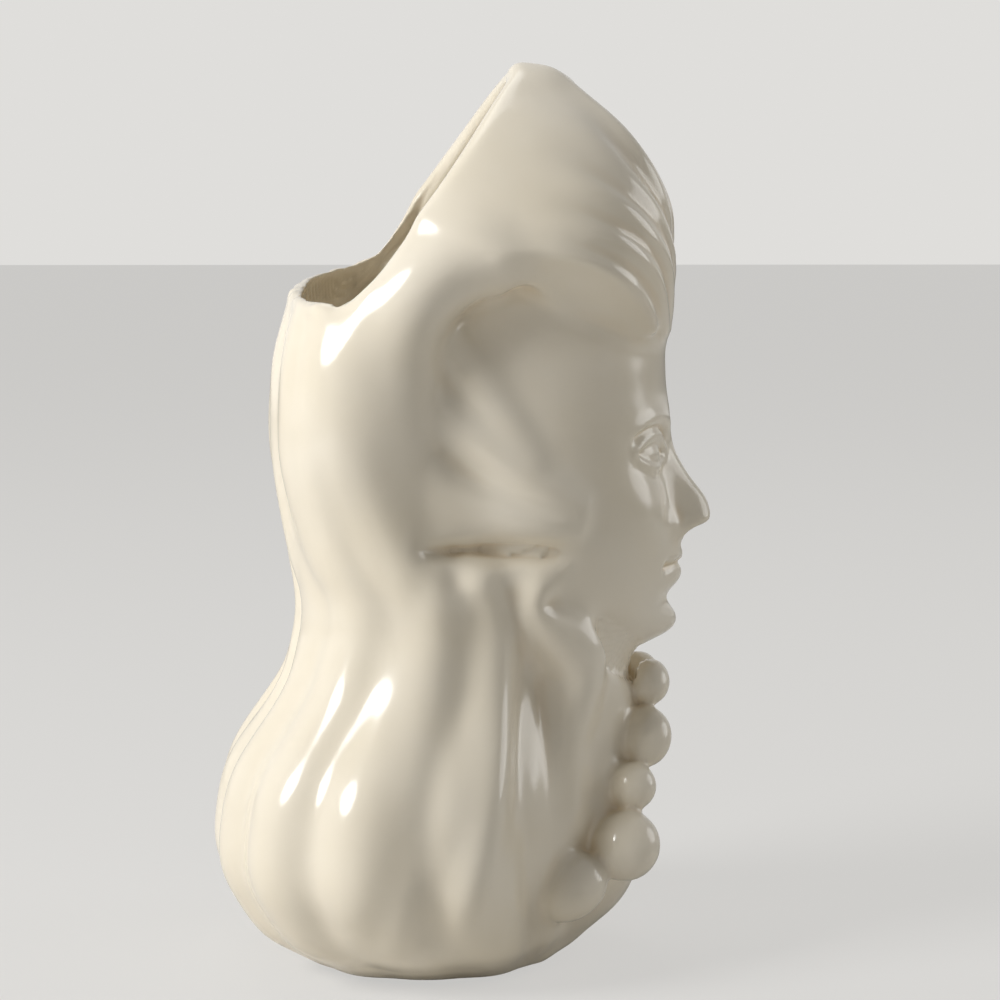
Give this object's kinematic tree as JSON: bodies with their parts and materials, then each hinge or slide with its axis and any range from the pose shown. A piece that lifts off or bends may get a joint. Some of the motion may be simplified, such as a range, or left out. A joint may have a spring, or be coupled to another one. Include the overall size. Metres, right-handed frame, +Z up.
{
  "type": "head planter",
  "caption": "Hollow glazed ceramic planter in the shape of a girl's head and shoulders, with long wavy hair, a beaded necklace and an open crown that takes a plant.",
  "frame": {"origin": "middle of the flat underside that the planter stands on", "axes": "+Z up, -Y towards the face, +X towards the figure's left"},
  "size_m": [0.1356, 0.1274, 0.2258],
  "materials": {
    "glaze": "gloss",
    "bare_clay": "matte"
  },
  "bodies": {
    "root": {"hair_shell": "glaze", "hair_fall": "glaze", "face_shell": "glaze", "base_slab": "bare_clay", "forelock_roll": "glaze", "forelock_sweep": "glaze", "temple_roll_right": "glaze", "temple_roll_left": "glaze", "shoulder_lock_right": "glaze", "shoulder_lock_left": "glaze", "cheek_strand_upper_right": "glaze", "cheek_strand_upper_left": "glaze", "cheek_strand_middle_right": "glaze", "cheek_strand_middle_left": "glaze", "cheek_strand_lower_right": "glaze", "cheek_strand_lower_left": "glaze", "necklace_bead_1": "glaze", "necklace_bead_2": "glaze", "necklace_bead_3": "glaze", "necklace_bead_4": "glaze", "necklace_bead_5": "glaze", "necklace_bead_6": "glaze", "necklace_bead_7": "glaze"}
  },
  "joints": []
}
